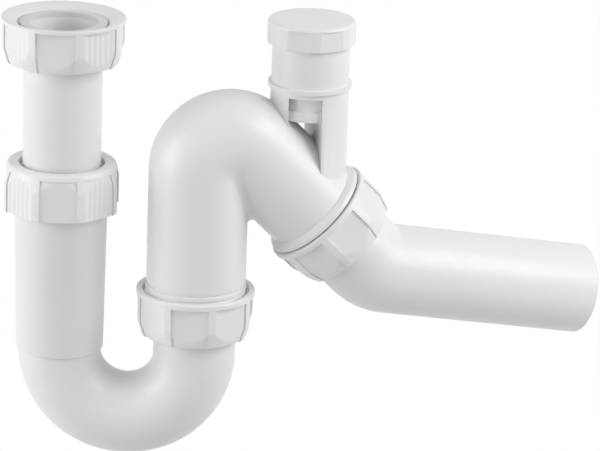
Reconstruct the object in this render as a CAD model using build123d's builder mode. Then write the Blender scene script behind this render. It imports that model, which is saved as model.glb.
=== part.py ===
from build123d import *
import math
import os

# Adjustable tubular swivel trap for a sink, with an air valve on its outlet limb.
# Millimetres, +Z up. The origin is the centre of the inlet nut's open mouth.
# The J-bend lies in the XZ plane and the outlet limb leaves towards +X.

# Driving dimensions: tubes
inlet_tube_r = 20.0
inlet_tube_wall = 1.9
j_tube_r = 21.2
j_tube_wall = 2.0
socket_head_wall = 3.2
socket_foot_wall = 2.2
socket_foot_step = 1.4
upper_tube_wall = 1.85
outlet_tube_r = 23.4
outlet_tube_wall = 2.0

# Driving dimensions: layout
leg_spacing = 70.0
u_centre_z = -176.0
adjuster_mouth_z = -100.4
swivel_mouth_z = -141.0
limb_corner_z = -39.8
limb_fall = 45.0
limb_yaw = 15.0
upper_bend_radius = 15.6
outlet_mouth_run = 88.1
outlet_corner_run = 132.8
outlet_bend_angle = 34.8
outlet_bend_roll = 15.0
outlet_bend_radius = 33.0
outlet_tail_length = 121.0
tail_chamfer = 0.9

# Driving dimensions: pipe threads and the walls that carry them
inlet_thread_depth = 1.48
joint_thread_depth = 1.48
bend_thread_wall = 1.64
socket_thread_wall = 4.99

# Driving dimensions: union nuts
inlet_nut_height = 23.1
inlet_nut_wall = 7.62
joint_nut_height = 24.3
joint_nut_wall = 3.55
crown_thickness = 3.2
crown_taper_height = 9.0
crown_taper = 2.8
crown_round = 1.2
rim_round = 0.6
rib_count = 8
rib_width = 3.4
panel_depth = 2.5
panel_band = 2.8
mouth_chamfer = 0.8
inlet_nut_turned = 1.8
adjuster_nut_turned = 2.4
swivel_nut_turned = 1.8
outlet_nut_turned = -10.6
adjuster_hole_gap = 2.0
swivel_hole_gap = 0.8

# Driving dimensions: seals, rings and washers
seal_flange = 2.5
slip_ring_thickness = 1.55
seal_skirt = 3.6
flange_width = 2.2
flange_thickness = 3.0
washer_thickness = 2.4
washer_depth = 2.6
socket_cone_rim = 1.2
bend_cone_rim = 0.4

# Driving dimensions: collars at the threaded ends of the upper bend
collar_rise = 1.93
leg_collar_step = 0.4
leg_collar_width = 2.1
collar_width = 2.7
collar_gap = 0.7
collar_edge = 0.8
collar_run_in = 1.5

# Driving dimensions: adjustable lengths
inlet_tube_end_z = -128.0
spigot_insertion = 25.0
socket_floor_gap = 3.0
socket_head_taper = 1.2
socket_foot_chamfer = 1.0
socket_floor_cone = 1.2

# Driving dimensions: air valve
valve_offset = 56.5
frame_r = 20.0
frame_wall = 2.3
frame_top_z = -34.4
window_top_z = -37.1
window_left = -14.0
window_right = 2.6
frame_foot_z = -86.0
valve_flange_r = 21.4
valve_flange_height = 2.2
valve_body_r = 19.8
valve_body_wall = 1.8
valve_floor = 1.8
valve_spigot_depth = 2.4
inlet_duct_r = 16.0
inlet_duct_lip_r = 17.3
inlet_duct_wall = 1.6
inlet_lip_top_z = -44.6
inlet_duct_foot_z = -49.7
seat_offset = -5.0
seat_bore_r = 7.0
seat_wall = 1.6
seat_z = -14.0
spider_arms = 3
spider_arm_width = 1.4
spider_height = 2.0
spider_drop = 7.0
hub_wall = 1.4
disc_r = 10.4
disc_thickness = 1.5
disc_lift = 3.0
stem_r = 1.5
stem_collar_r = 2.2
stem_collar_height = 1.2
seal_ring_height = 1.4
seal_ring_depth = 1.0
seal_ring_drop = 0.5
cap_top_z = 0.5
cap_foot_z = -11.8
cap_r = 22.5
cap_plate = 2.5
cap_round = 2.0
cap_rim_round = 0.5
cap_turned = 15.6
cap_panel_depth = 0.9
cap_rib_width = 3.2
gasket_thickness = 1.5

# Named clearances
thread_clearance = 0.08
slide_clearance = 0.05
bore_clearance = 0.4
ring_clearance = 0.25
crown_play = 0.05
spigot_clearance = 0.35
riser_seal_gap = 2.55
flange_clearance = 0.22
seat_clearance = 0.15
cap_clearance = 0.3
stem_clearance = 0.08
scallop_clearance = 0.6

# The frame of each screwed joint: origin at the nut's open mouth, Z towards its crown
limb_fall_rad = math.radians(limb_fall)
limb_yaw_rad = math.radians(limb_yaw)
limb_out = Vector(math.cos(limb_yaw_rad), math.sin(limb_yaw_rad), 0)
limb_side = Vector(-math.sin(limb_yaw_rad), math.cos(limb_yaw_rad), 0)
limb_dir = limb_out * math.cos(limb_fall_rad) - Vector(0, 0, math.sin(limb_fall_rad))
limb_up = limb_out * math.sin(limb_fall_rad) + Vector(0, 0, math.cos(limb_fall_rad))
limb_corner = Vector(leg_spacing, 0, limb_corner_z)

inlet_seat = Plane(origin=(0, 0, 0), x_dir=(1, 0, 0), z_dir=(0, 0, -1))
adjuster_seat = Plane(origin=(0, 0, adjuster_mouth_z), x_dir=(1, 0, 0), z_dir=(0, 0, 1))
swivel_seat = Plane(origin=(leg_spacing, 0, swivel_mouth_z), x_dir=(1, 0, 0), z_dir=(0, 0, -1))
outlet_seat = Plane(
    origin=limb_corner + limb_dir * outlet_mouth_run, x_dir=limb_up, z_dir=limb_dir
)
limb_plane = Plane(origin=limb_corner, x_dir=limb_up, z_dir=limb_dir)
valve_plane = Plane(
    origin=Vector(leg_spacing, 0, 0) + limb_out * valve_offset, x_dir=limb_out, z_dir=(0, 0, 1)
)

# Heights along a joint's own axis, from the nut's open mouth
crown_inner = joint_nut_height - crown_thickness
male_end = crown_inner - crown_play - slip_ring_thickness - seal_flange

# Radii that follow the tubes: each bore clears the widest tube in it, and its thread clears the bore
upper_bore_r = max(outlet_tube_r + spigot_clearance, j_tube_r + riser_seal_gap)
upper_tube_r = upper_bore_r + upper_tube_wall
socket_bore_r = inlet_tube_r + bore_clearance
socket_top_r = socket_bore_r + socket_head_wall
socket_foot_r = max(socket_bore_r + socket_foot_wall, j_tube_r + socket_foot_step)
j_bore_r = j_tube_r - j_tube_wall
socket_thread_root_r = socket_bore_r + socket_thread_wall
bend_thread_root_r = upper_bore_r + bend_thread_wall
socket_nut_bore_r = socket_thread_root_r + joint_thread_depth + thread_clearance
bend_nut_bore_r = bend_thread_root_r + joint_thread_depth + thread_clearance
collar_r = bend_thread_root_r + joint_thread_depth + collar_rise
leg_collar_r = upper_tube_r + leg_collar_step
socket_cone_r = socket_thread_root_r - socket_cone_rim
bend_cone_r = bend_thread_root_r - bend_cone_rim
flange_r = inlet_tube_r + flange_width
inlet_thread_crest_r = flange_r + flange_clearance + inlet_thread_depth
inlet_nut_bore_r = inlet_thread_crest_r + thread_clearance
inlet_nut_r = inlet_nut_bore_r + inlet_nut_wall


def half_plane(seat: Plane) -> Plane:
    """Plane holding a joint's axis: X is the radius and Y the height along the axis."""
    return Plane(origin=seat.origin, x_dir=seat.x_dir, z_dir=-seat.y_dir)


def turn(seat: Plane, outline: list, mode: Mode = Mode.ADD) -> None:
    """Turn a closed outline of (radius, height) points; a third value rounds that corner."""
    with BuildSketch(half_plane(seat)) as profile:
        with BuildLine():
            Polyline(*[point[:2] for point in outline], close=True)
        make_face()
        for radius, height, corner_round in [point for point in outline if len(point) == 3]:
            fillet(profile.vertices().sort_by_distance((radius, height, 0))[0], corner_round)
    revolve(profile.sketch, axis=Axis(seat.origin, seat.z_dir), mode=mode)


def ring(
    seat: Plane, inner: float, outer: float, low: float, high: float, mode: Mode = Mode.ADD
) -> None:
    """Turn a plain ring, or a disc where inner is 0, between two heights."""
    turn(seat, [(inner, low), (outer, low), (outer, high), (inner, high)], mode)


def grip_panels(
    seat: Plane, rim_r: float, depth: float, width: float, low: float, high: float, turned: float
) -> None:
    """Cut the flat panels between the grip ribs of a nut or cap."""
    for index in range(rib_count):
        angle = turned + 360.0 * index / rib_count
        facing = Plane(seat.origin, x_dir=seat.x_dir, z_dir=seat.z_dir).rotated((0, 0, angle))
        half_chord = (rim_r - depth) * math.tan(math.pi / rib_count) - width / 2
        with BuildSketch(facing.offset(low)) as pocket:
            with Locations((rim_r - depth, 0)):
                Rectangle(2 * depth, 2 * half_chord, align=(Align.MIN, Align.CENTER))
        extrude(pocket.sketch, amount=high - low, mode=Mode.SUBTRACT)


def union_nut(
    seat: Plane, rim_r: float, height: float, bore_r: float, hole_r: float, panels: tuple, turned: float
) -> None:
    """One union nut: tapered crown, threaded bore, ribs and flat grip panels."""
    low, high = panels
    turn(
        seat,
        [
            (0, 0),
            (rim_r, 0, rim_round),
            (rim_r, height - crown_taper_height, crown_taper_height),
            (rim_r - crown_taper, height, crown_round),
            (0, height),
        ],
    )
    grip_panels(seat, rim_r, panel_depth, rib_width, low, high, turned)
    ring(seat, 0, bore_r, 0, height - crown_thickness, Mode.SUBTRACT)
    turn(
        seat,
        [(0, 0), (bore_r + mouth_chamfer, 0), (bore_r, mouth_chamfer), (0, mouth_chamfer)],
        Mode.SUBTRACT,
    )
    ring(seat, 0, hole_r, height - crown_thickness, height, Mode.SUBTRACT)


def compression_seal(seat: Plane, tube_r: float, bore_r: float, cone_r: float, rim_r: float) -> None:
    """One rubber seal: a flange on the male end's face and a wedge in its mouth."""
    inner = tube_r + slide_clearance
    cone_depth = cone_r - bore_r
    wedge = min(cone_depth, seal_skirt) - seat_clearance
    turn(
        seat,
        [
            (inner, male_end - wedge),
            (cone_r - wedge - 2 * seat_clearance, male_end - wedge),
            (cone_r - 2 * seat_clearance, male_end),
            (rim_r, male_end),
            (rim_r, male_end + seal_flange),
            (inner, male_end + seal_flange),
        ],
    )


def slip_ring(seat: Plane, tube_r: float, rim_r: float) -> None:
    """One hard slip ring between a seal and its nut's crown."""
    low = male_end + seal_flange
    ring(seat, tube_r + ring_clearance, rim_r, low, low + slip_ring_thickness)


def clipped_bend(
    start: Plane, centre: Vector, hinge: Vector, radius: float, sweep_angle: float
) -> None:
    """Revolve a circle about an axis that passes inside it, cut off at that axis."""
    with BuildSketch(start) as section:
        Circle(radius)
        with Locations((upper_bend_radius, 0)):
            Rectangle(4 * radius, 4 * radius, align=(Align.MIN, Align.CENTER), mode=Mode.SUBTRACT)
    revolve(section.sketch, axis=Axis(centre, hinge), revolution_arc=sweep_angle)


# Upper bend: leg, tight bend and falling limb
bend_turn = 90.0 + limb_fall
bend_tangent = upper_bend_radius * math.tan(math.radians(bend_turn / 2))
bend_centre = limb_corner + limb_out * upper_bend_radius - Vector(0, 0, bend_tangent)
leg_top = Plane(origin=limb_corner - Vector(0, 0, bend_tangent), x_dir=limb_out, z_dir=(0, 0, 1))
leg_end = Plane(
    origin=(leg_spacing, 0, swivel_mouth_z + collar_gap), x_dir=limb_out, z_dir=(0, 0, 1)
)
limb_start = Plane(origin=limb_corner + limb_dir * bend_tangent, x_dir=limb_up, z_dir=limb_dir)
limb_length = outlet_mouth_run - collar_gap - bend_tangent


def bend_solid(radius: float, leg_past: float, limb_past: float) -> Part:
    """The leg, the bend and the limb as one solid of the given radius."""
    with BuildPart() as solid:
        with BuildSketch(leg_end.offset(-leg_past)) as leg_section:
            Circle(radius)
        extrude(leg_section.sketch, amount=leg_top.origin.Z - leg_end.origin.Z + leg_past)
        clipped_bend(leg_top, bend_centre, limb_side, radius, bend_turn)
        with BuildSketch(limb_start) as limb_section:
            Circle(radius)
        extrude(limb_section.sketch, amount=limb_length + limb_past)
    return solid.part


def segment(
    radius: float, left: float, right: float, low: float, high: float, mode: Mode = Mode.ADD
) -> None:
    """Extrude the part of a disc about the valve axis that lies between two flats."""
    with BuildSketch(valve_plane.offset(low)) as section:
        Circle(radius)
        with Locations((left, 0)):
            Rectangle(right - left, 2 * radius, align=(Align.MIN, Align.CENTER), mode=Mode.INTERSECT)
    extrude(section.sketch, amount=high - low, mode=mode)


def off_centre_ring(
    inner: float, outer: float, low: float, high: float, mode: Mode = Mode.ADD
) -> None:
    """Extrude a ring, or a disc where inner is 0, about the diaphragm's own axis."""
    with BuildSketch(valve_plane.offset(low)) as section:
        with Locations((seat_offset, 0)):
            Circle(outer)
            if inner > 0:
                Circle(inner, mode=Mode.SUBTRACT)
    extrude(section.sketch, amount=high - low, mode=mode)


os.makedirs("parts", exist_ok=True)

# Inlet nut
with BuildPart() as inlet_nut:
    union_nut(
        inlet_seat,
        inlet_nut_r,
        inlet_nut_height,
        inlet_nut_bore_r,
        inlet_tube_r + bore_clearance,
        (panel_band, inlet_nut_height),
        inlet_nut_turned,
    )
inlet_nut.part.label = "inlet_nut"
export_step(inlet_nut.part, "parts/inlet_nut.step")

# Flat washer on the inlet tube's flange
flange_depth = washer_depth + washer_thickness
inlet_bore_r = inlet_tube_r - inlet_tube_wall
with BuildPart() as inlet_washer:
    ring(inlet_seat, inlet_bore_r, flange_r, washer_depth, flange_depth)
inlet_washer.part.label = "inlet_washer"
export_step(inlet_washer.part, "parts/inlet_washer.step")

# Inlet tube with its flange
with BuildPart() as inlet_tube:
    ring(inlet_seat, 0, inlet_tube_r, flange_depth, -inlet_tube_end_z)
    ring(inlet_seat, 0, flange_r, flange_depth, flange_depth + flange_thickness)
    ring(inlet_seat, 0, inlet_bore_r, flange_depth, -inlet_tube_end_z, Mode.SUBTRACT)
inlet_tube.part.label = "inlet_tube"
export_step(inlet_tube.part, "parts/inlet_tube.step")

# Adjuster nut, slip ring and seal
with BuildPart() as adjuster_nut:
    union_nut(
        adjuster_seat,
        socket_nut_bore_r + joint_nut_wall,
        joint_nut_height,
        socket_nut_bore_r,
        inlet_tube_r + adjuster_hole_gap,
        (0, joint_nut_height - panel_band),
        adjuster_nut_turned,
    )
adjuster_nut.part.label = "adjuster_nut"
export_step(adjuster_nut.part, "parts/adjuster_nut.step")

with BuildPart() as adjuster_slip_ring:
    slip_ring(adjuster_seat, inlet_tube_r, socket_thread_root_r)
adjuster_slip_ring.part.label = "adjuster_slip_ring"
export_step(adjuster_slip_ring.part, "parts/adjuster_slip_ring.step")

with BuildPart() as adjuster_seal:
    compression_seal(adjuster_seat, inlet_tube_r, socket_bore_r, socket_cone_r, socket_thread_root_r)
adjuster_seal.part.label = "adjuster_seal"
export_step(adjuster_seal.part, "parts/adjuster_seal.step")

# J-bend: socket with a male threaded head, U and riser
socket_foot = u_centre_z - adjuster_mouth_z
riser_end_z = swivel_mouth_z - male_end + spigot_insertion
u_start = Plane(origin=(0, 0, u_centre_z), x_dir=(1, 0, 0), z_dir=(0, 0, 1))
riser_start = Plane(origin=(leg_spacing, 0, u_centre_z), x_dir=(1, 0, 0), z_dir=(0, 0, 1))
u_axis = Axis((leg_spacing / 2, 0, u_centre_z), (0, 1, 0))
with BuildPart() as j_bend:
    turn(
        adjuster_seat,
        [
            (0, male_end),
            (socket_thread_root_r, male_end),
            (socket_thread_root_r, thread_clearance),
            (socket_top_r, -socket_head_taper),
            (socket_foot_r, socket_foot + socket_foot_chamfer),
            (socket_foot_r - socket_foot_chamfer, socket_foot),
            (0, socket_foot),
        ],
    )
    for radius, mode in ((j_tube_r, Mode.ADD), (j_bore_r, Mode.SUBTRACT)):
        with BuildSketch(u_start) as u_section:
            Circle(radius)
        revolve(u_section.sketch, axis=u_axis, revolution_arc=-180, mode=mode)
        with BuildSketch(riser_start) as riser_section:
            Circle(radius)
        extrude(riser_section.sketch, amount=riser_end_z - u_centre_z, mode=mode)
    turn(
        adjuster_seat,
        [
            (0, male_end),
            (socket_cone_r, male_end),
            (socket_bore_r, male_end - (socket_cone_r - socket_bore_r)),
            (socket_bore_r, socket_foot + socket_floor_gap),
            (j_bore_r, socket_foot + socket_floor_gap - socket_floor_cone),
            (j_bore_r, socket_foot),
            (0, socket_foot),
        ],
        Mode.SUBTRACT,
    )
j_bend.part.label = "j_bend"
export_step(j_bend.part, "parts/j_bend.step")

# Swivel nut, slip ring and seal
with BuildPart() as swivel_nut:
    union_nut(
        swivel_seat,
        bend_nut_bore_r + joint_nut_wall,
        joint_nut_height,
        bend_nut_bore_r,
        j_tube_r + swivel_hole_gap,
        (panel_band, joint_nut_height),
        swivel_nut_turned,
    )
swivel_nut.part.label = "swivel_nut"
export_step(swivel_nut.part, "parts/swivel_nut.step")

with BuildPart() as swivel_slip_ring:
    slip_ring(swivel_seat, j_tube_r, bend_thread_root_r)
swivel_slip_ring.part.label = "swivel_slip_ring"
export_step(swivel_slip_ring.part, "parts/swivel_slip_ring.step")

with BuildPart() as swivel_seal:
    compression_seal(swivel_seat, j_tube_r, upper_bore_r, bend_cone_r, bend_thread_root_r)
swivel_seal.part.label = "swivel_seal"
export_step(swivel_seal.part, "parts/swivel_seal.step")

# Upper bend with collars, male threads and the windowed valve frame
outer_bend = bend_solid(upper_tube_r, 0, 0)
inner_bend = bend_solid(upper_bore_r, collar_gap + male_end, collar_gap + male_end)
frame_bore_r = frame_r - frame_wall
duct_left = window_right + frame_wall
with BuildPart() as upper_bend:
    ring(valve_plane, frame_bore_r, frame_r, frame_foot_z, frame_top_z)
    segment(frame_r, window_left, window_right, frame_foot_z, window_top_z, Mode.SUBTRACT)
    duct_top_z = frame_top_z - valve_spigot_depth
    segment(frame_r - frame_wall / 2, window_right, duct_left, frame_foot_z, duct_top_z)
    add(outer_bend)
    turn(
        outlet_seat,
        [
            (0, -collar_gap - collar_width - collar_run_in),
            (upper_tube_r, -collar_gap - collar_width - collar_run_in),
            (collar_r - collar_edge, -collar_gap - collar_width),
            (collar_r, -collar_gap - collar_width + collar_edge),
            (collar_r, -collar_gap),
            (0, -collar_gap),
        ],
    )
    ring(swivel_seat, 0, leg_collar_r, -collar_gap - leg_collar_width, -collar_gap)
    for seat in (swivel_seat, outlet_seat):
        ring(seat, 0, bend_thread_root_r, -collar_gap, male_end)
    add(inner_bend, mode=Mode.SUBTRACT)
    for seat in (swivel_seat, outlet_seat):
        turn(
            seat,
            [
                (0, male_end - (bend_cone_r - upper_bore_r)),
                (upper_bore_r, male_end - (bend_cone_r - upper_bore_r)),
                (bend_cone_r, male_end),
                (0, male_end),
            ],
            Mode.SUBTRACT,
        )
    segment(frame_bore_r, duct_left, frame_bore_r, frame_foot_z, frame_top_z, Mode.SUBTRACT)
upper_bend.part.label = "upper_bend"
export_step(upper_bend.part, "parts/upper_bend.step")

# Outlet nut, slip ring and seal
with BuildPart() as outlet_nut:
    union_nut(
        outlet_seat,
        bend_nut_bore_r + joint_nut_wall,
        joint_nut_height,
        bend_nut_bore_r,
        outlet_tube_r + bore_clearance,
        (panel_band, joint_nut_height),
        outlet_nut_turned,
    )
outlet_nut.part.label = "outlet_nut"
export_step(outlet_nut.part, "parts/outlet_nut.step")

with BuildPart() as outlet_slip_ring:
    slip_ring(outlet_seat, outlet_tube_r, bend_thread_root_r)
outlet_slip_ring.part.label = "outlet_slip_ring"
export_step(outlet_slip_ring.part, "parts/outlet_slip_ring.step")

with BuildPart() as outlet_seal:
    compression_seal(outlet_seat, outlet_tube_r, upper_bore_r, bend_cone_r, bend_thread_root_r)
outlet_seal.part.label = "outlet_seal"
export_step(outlet_seal.part, "parts/outlet_seal.step")

# Outlet pipe: spigot, gentle elbow and plain tail
elbow_way = limb_up * math.cos(math.radians(outlet_bend_roll)) + limb_side * math.sin(
    math.radians(outlet_bend_roll)
)
elbow_tangent = outlet_bend_radius * math.tan(math.radians(outlet_bend_angle / 2))
elbow_start = limb_corner + limb_dir * (outlet_corner_run - elbow_tangent)
spigot_start_run = outlet_mouth_run + male_end - spigot_insertion
spigot_length = outlet_corner_run - elbow_tangent - spigot_start_run
tail_dir = limb_dir * math.cos(math.radians(outlet_bend_angle)) + elbow_way * math.sin(
    math.radians(outlet_bend_angle)
)
tail_start = limb_corner + limb_dir * outlet_corner_run + tail_dir * elbow_tangent
tail_run = outlet_tail_length - elbow_tangent
spigot_plane = Plane(
    origin=limb_corner + limb_dir * spigot_start_run, x_dir=limb_up, z_dir=limb_dir
)
elbow_plane = Plane(origin=elbow_start, x_dir=elbow_way, z_dir=limb_dir)
elbow_axis = Axis(elbow_start + elbow_way * outlet_bend_radius, limb_dir.cross(elbow_way))
tail_plane = Plane(origin=tail_start, x_dir=limb_dir.cross(elbow_way), z_dir=tail_dir)
with BuildPart() as outlet_pipe:
    for radius, mode in ((outlet_tube_r, Mode.ADD), (outlet_tube_r - outlet_tube_wall, Mode.SUBTRACT)):
        ring(spigot_plane, 0, radius, 0, spigot_length, mode)
        with BuildSketch(elbow_plane) as elbow_section:
            Circle(radius)
        revolve(elbow_section.sketch, axis=elbow_axis, revolution_arc=outlet_bend_angle, mode=mode)
        ring(tail_plane, 0, radius, 0, tail_run, mode)
    chamfer(
        outlet_pipe.edges().sort_by_distance(tail_start + tail_dir * (tail_run + outlet_tube_r))[0:2],
        tail_chamfer,
    )
outlet_pipe.part.label = "outlet_pipe"
export_step(outlet_pipe.part, "parts/outlet_pipe.step")

# Air valve body: flange, wall, spigot, hanging inlet duct and off-centre diaphragm seat
valve_top_z = cap_top_z - cap_plate - gasket_thickness
valve_bore_r = valve_body_r - valve_body_wall
spigot_r = frame_bore_r - seat_clearance
spigot_foot_z = frame_top_z - valve_spigot_depth
floor_top_z = frame_top_z + valve_floor
inlet_flat = window_right - seat_clearance
hub_top_z = seat_z - spider_drop
hub_foot_z = hub_top_z - spider_height
hub_bore_r = stem_r + stem_clearance
with BuildPart() as valve_body:
    ring(valve_plane, valve_bore_r, valve_body_r, frame_top_z, valve_top_z)
    ring(valve_plane, 0, valve_flange_r, frame_top_z, frame_top_z + valve_flange_height)
    ring(valve_plane, 0, valve_bore_r, floor_top_z, valve_top_z, Mode.SUBTRACT)
    ring(valve_plane, 0, spigot_r, spigot_foot_z, frame_top_z)
    segment(inlet_duct_r, -inlet_duct_r, inlet_flat, inlet_duct_foot_z, spigot_foot_z)
    segment(inlet_duct_lip_r, -inlet_duct_lip_r, inlet_flat, inlet_duct_foot_z, inlet_lip_top_z)
    segment(
        inlet_duct_r - inlet_duct_wall,
        -inlet_duct_r + inlet_duct_wall,
        inlet_flat - inlet_duct_wall,
        inlet_duct_foot_z,
        spigot_foot_z,
        Mode.SUBTRACT,
    )
    off_centre_ring(0, seat_bore_r + seat_wall, frame_top_z, seat_z)
    off_centre_ring(0, seat_bore_r, spigot_foot_z, seat_z, Mode.SUBTRACT)
    segment(inlet_duct_r, duct_left, inlet_duct_r, spigot_foot_z, floor_top_z, Mode.SUBTRACT)
    off_centre_ring(hub_bore_r, hub_bore_r + hub_wall, hub_foot_z, hub_top_z)
    with BuildSketch(valve_plane.offset(hub_foot_z)) as arms:
        with Locations((seat_offset, 0)):
            with PolarLocations(0, spider_arms):
                with Locations((hub_bore_r + hub_wall / 2, 0)):
                    Rectangle(
                        seat_bore_r + seat_wall / 2 - hub_bore_r - hub_wall / 2,
                        spider_arm_width,
                        align=(Align.MIN, Align.CENTER),
                    )
    extrude(arms.sketch, amount=spider_height)
    ring(limb_plane, 0, upper_tube_r + scallop_clearance, 0, outlet_mouth_run, Mode.SUBTRACT)
    ring(
        valve_plane,
        spigot_r - seal_ring_depth,
        spigot_r,
        frame_top_z - seal_ring_height - seal_ring_drop,
        frame_top_z - seal_ring_drop,
        Mode.SUBTRACT,
    )
valve_body.part.label = "valve_body"
export_step(valve_body.part, "parts/valve_body.step")

# Sealing ring between the valve body and its frame
with BuildPart() as valve_body_seal:
    ring(
        valve_plane,
        spigot_r - seal_ring_depth + slide_clearance,
        frame_bore_r - slide_clearance,
        frame_top_z - seal_ring_height - seal_ring_drop,
        frame_top_z - seal_ring_drop,
    )
valve_body_seal.part.label = "valve_body_seal"
export_step(valve_body_seal.part, "parts/valve_body_seal.step")

# Diaphragm with its stem and stop collar
with BuildPart() as valve_diaphragm:
    off_centre_ring(0, disc_r, seat_z, seat_z + disc_thickness)
    off_centre_ring(0, stem_r, hub_foot_z - disc_lift - stem_collar_height, seat_z)
    off_centre_ring(
        0, stem_collar_r, hub_foot_z - disc_lift - stem_collar_height, hub_foot_z - disc_lift
    )
valve_diaphragm.part.label = "valve_diaphragm"
export_step(valve_diaphragm.part, "parts/valve_diaphragm.step")

# Cap gasket and cap
with BuildPart() as cap_gasket:
    ring(valve_plane, valve_bore_r, valve_body_r, valve_top_z, valve_top_z + gasket_thickness)
cap_gasket.part.label = "cap_gasket"
export_step(cap_gasket.part, "parts/cap_gasket.step")

with BuildPart() as valve_cap:
    turn(
        valve_plane,
        [
            (0, cap_foot_z),
            (cap_r, cap_foot_z, cap_rim_round),
            (cap_r, cap_top_z, cap_round),
            (0, cap_top_z),
        ],
    )
    grip_panels(
        valve_plane,
        cap_r,
        cap_panel_depth,
        cap_rib_width,
        cap_foot_z,
        cap_top_z - cap_round,
        cap_turned,
    )
    ring(
        valve_plane, 0, valve_body_r + cap_clearance, cap_foot_z, cap_top_z - cap_plate, Mode.SUBTRACT
    )
valve_cap.part.label = "valve_cap"
export_step(valve_cap.part, "parts/valve_cap.step")
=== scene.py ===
"""Looks of an adjustable sink trap with an air valve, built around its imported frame.

Sizes are millimetres in the object's own frame: +Z up, origin at the centre of the inlet nut's
open mouth. Meshes are written in metres. A profile is a row of (radius, height) points about
an axis, and a loop is a closed row of points in space.
"""

import logging
import math
from collections.abc import Sequence
from dataclasses import dataclass
from enum import Enum

import bmesh
import bpy
import numpy as np
from mathutils import Matrix, Vector


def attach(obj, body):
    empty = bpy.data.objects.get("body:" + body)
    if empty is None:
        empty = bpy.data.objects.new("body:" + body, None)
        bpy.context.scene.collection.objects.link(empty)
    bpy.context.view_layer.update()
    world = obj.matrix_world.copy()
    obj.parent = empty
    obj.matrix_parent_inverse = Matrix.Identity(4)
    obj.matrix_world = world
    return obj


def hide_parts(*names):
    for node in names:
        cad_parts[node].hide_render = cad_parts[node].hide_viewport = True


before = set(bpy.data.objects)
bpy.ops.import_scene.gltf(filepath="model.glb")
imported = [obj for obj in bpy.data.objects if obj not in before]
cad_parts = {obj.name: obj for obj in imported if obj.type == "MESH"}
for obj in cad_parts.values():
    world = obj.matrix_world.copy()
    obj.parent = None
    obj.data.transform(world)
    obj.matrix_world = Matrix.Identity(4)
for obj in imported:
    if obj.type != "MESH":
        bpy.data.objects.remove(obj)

LOG = logging.getLogger("sink_trap")
MM = 0.001
TURN = 2 * math.pi
WELD = 2e-6
SLIVER = 1e-7
SHARP_DEG = 32.0
NOISE_LOW, NOISE_HIGH = 0.3, 0.7
Array = np.ndarray
Triple = tuple[float, float, float]
Pair = tuple[float, float]
Profile = Sequence[Pair]


class Ridge(Enum):
    """Which wall a screw thread's ridge stands on, as the ridge's place along the pitch."""

    MALE = 0.0
    FEMALE = 0.5


class Grip(Enum):
    """How the flat panels of a nut are finished."""

    PLAIN = "plain"
    RIBBED = "every second panel ribbed"


class Join(Enum):
    """What a tool mesh does to the piece that it meets."""

    ADD = "UNION"
    CUT = "DIFFERENCE"


def unit(vector: Sequence[float]) -> Array:
    """A vector of length one along the given vector."""
    return np.asarray(vector, dtype=float) / np.linalg.norm(vector)


def smooth_step(value: Array) -> Array:
    """Ease from 0 to 1 while the value goes from 0 to 1."""
    inside = np.clip(value, 0.0, 1.0)
    return inside * inside * (3.0 - 2.0 * inside)


def even_angles(count: int) -> Array:
    """Angles of a full turn in equal steps, in radians."""
    return np.linspace(0.0, TURN, count, endpoint=False)


def shifted(steps: Profile, radius: float, height: float) -> list[Pair]:
    """A profile drawn as small steps from a corner, moved to that corner."""
    return [(radius + out, height + along) for out, along in steps]


def rounded(corners: Sequence[Triple], steps: int = 4) -> Array:
    """Draw a closed outline whose corners are rounded.

    Args:
        corners: Radius, height and rounding of each corner, in order.
        steps: Straight pieces in each rounded corner.

    Returns:
        Points of the outline, one (radius, height) a row.
    """
    points = []
    for index, (radius, height, rounding) in enumerate(corners):
        here = np.array((radius, height))
        if rounding <= 0:
            points.append(here)
            continue
        back = unit(np.array(corners[index - 1][:2]) - here)
        ahead = unit(np.array(corners[(index + 1) % len(corners)][:2]) - here)
        half = math.acos(float(np.clip(back @ ahead, -1, 1))) / 2
        centre = here + unit(back + ahead) * rounding / math.sin(half)
        start = here + back * rounding / math.tan(half) - centre
        end = here + ahead * rounding / math.tan(half) - centre
        bend = math.pi - 2 * half
        for step in range(steps + 1):
            part = step / steps
            blend = math.sin((1 - part) * bend) * start + math.sin(part * bend) * end
            points.append(centre + blend / math.sin(bend))
    return np.array(points)


@dataclass(frozen=True)
class Seat:
    """A place on the object: an origin, the axis through it and a direction across the axis."""

    origin: Triple
    axis: Triple
    across: Triple

    @classmethod
    def at(cls, origin: Array, axis: Array, across: Array) -> "Seat":
        """A seat given by three arrays."""
        return cls(tuple(origin), tuple(axis), tuple(across))

    def place(self, radius: Array, angle: Array, height: Array) -> Array:
        """Turn polar places about the axis into points.

        Args:
            radius: Distance from the axis.
            angle: Angle from the direction across, in radians.
            height: Distance along the axis.

        Returns:
            Points, with the three coordinates last.
        """
        radius, angle, height = np.broadcast_arrays(radius, angle, height)
        axis, across = unit(self.axis), unit(self.across)
        beside = np.cross(axis, across)
        flat = np.multiply.outer(radius * np.cos(angle), across)
        flat = flat + np.multiply.outer(radius * np.sin(angle), beside)
        return np.array(self.origin) + flat + np.multiply.outer(height, axis)

    def rings(self, profile: Profile, angle: Array) -> list[Array]:
        """Loops about the axis, one for each point of a profile."""
        return [self.place(radius, angle, height) for radius, height in profile]


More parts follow.
